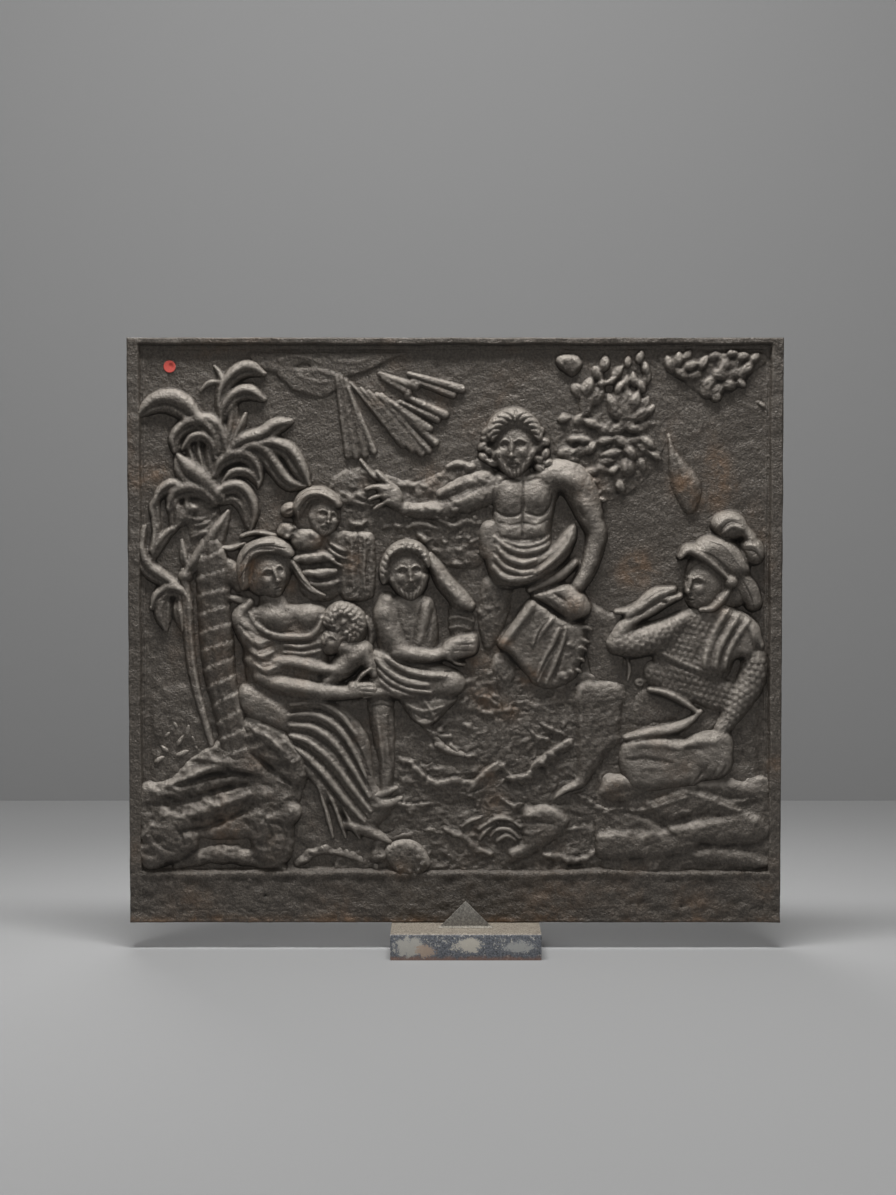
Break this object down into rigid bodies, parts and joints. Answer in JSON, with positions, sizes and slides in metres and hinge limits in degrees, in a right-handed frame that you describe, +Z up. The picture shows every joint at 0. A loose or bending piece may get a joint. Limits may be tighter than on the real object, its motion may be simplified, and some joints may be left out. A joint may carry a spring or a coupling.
{
  "type": "cast-iron fireback on a display rest",
  "caption": "Rectangular cast-iron fireback with a moulded rim, plain foot band and a figured relief in a landscape, standing on a small welded steel rest.",
  "frame": {"origin": "on the floor, in the middle of the plate's width and of the rest's depth", "axes": "+X along the plate's width, +Y from the picture to the back, +Z up"},
  "size_m": [0.82, 0.4, 0.7683],
  "materials": {
    "cast_iron": "old dark cast iron with a brown bloom, rubbed grey on the high places",
    "red_paper": "plain red paper label",
    "painted_steel": "worn blue-grey paint with pale scuffs",
    "bare_steel": "dark mill-scale steel",
    "weld_metal": "weld bead"
  },
  "bodies": {
    "rest": {"rest_channel": "painted_steel", "front_stop": "bare_steel", "rear_upright": "bare_steel", "tail_bar": "bare_steel", "rear_brace": "bare_steel", "stop_weld": "weld_metal", "upright_weld": "weld_metal", "tail_weld": "weld_metal", "brace_foot_weld": "weld_metal", "brace_top_weld": "weld_metal"},
    "fireback": {"fireback": "cast_iron", "label_disc": "red_paper"}
  },
  "joints": [
    {"name": "fireback_lift", "type": "slide", "parent": "rest", "child": "fireback", "axis": [0, 0, 1], "range_m": [0, 0.4]}
  ]
}
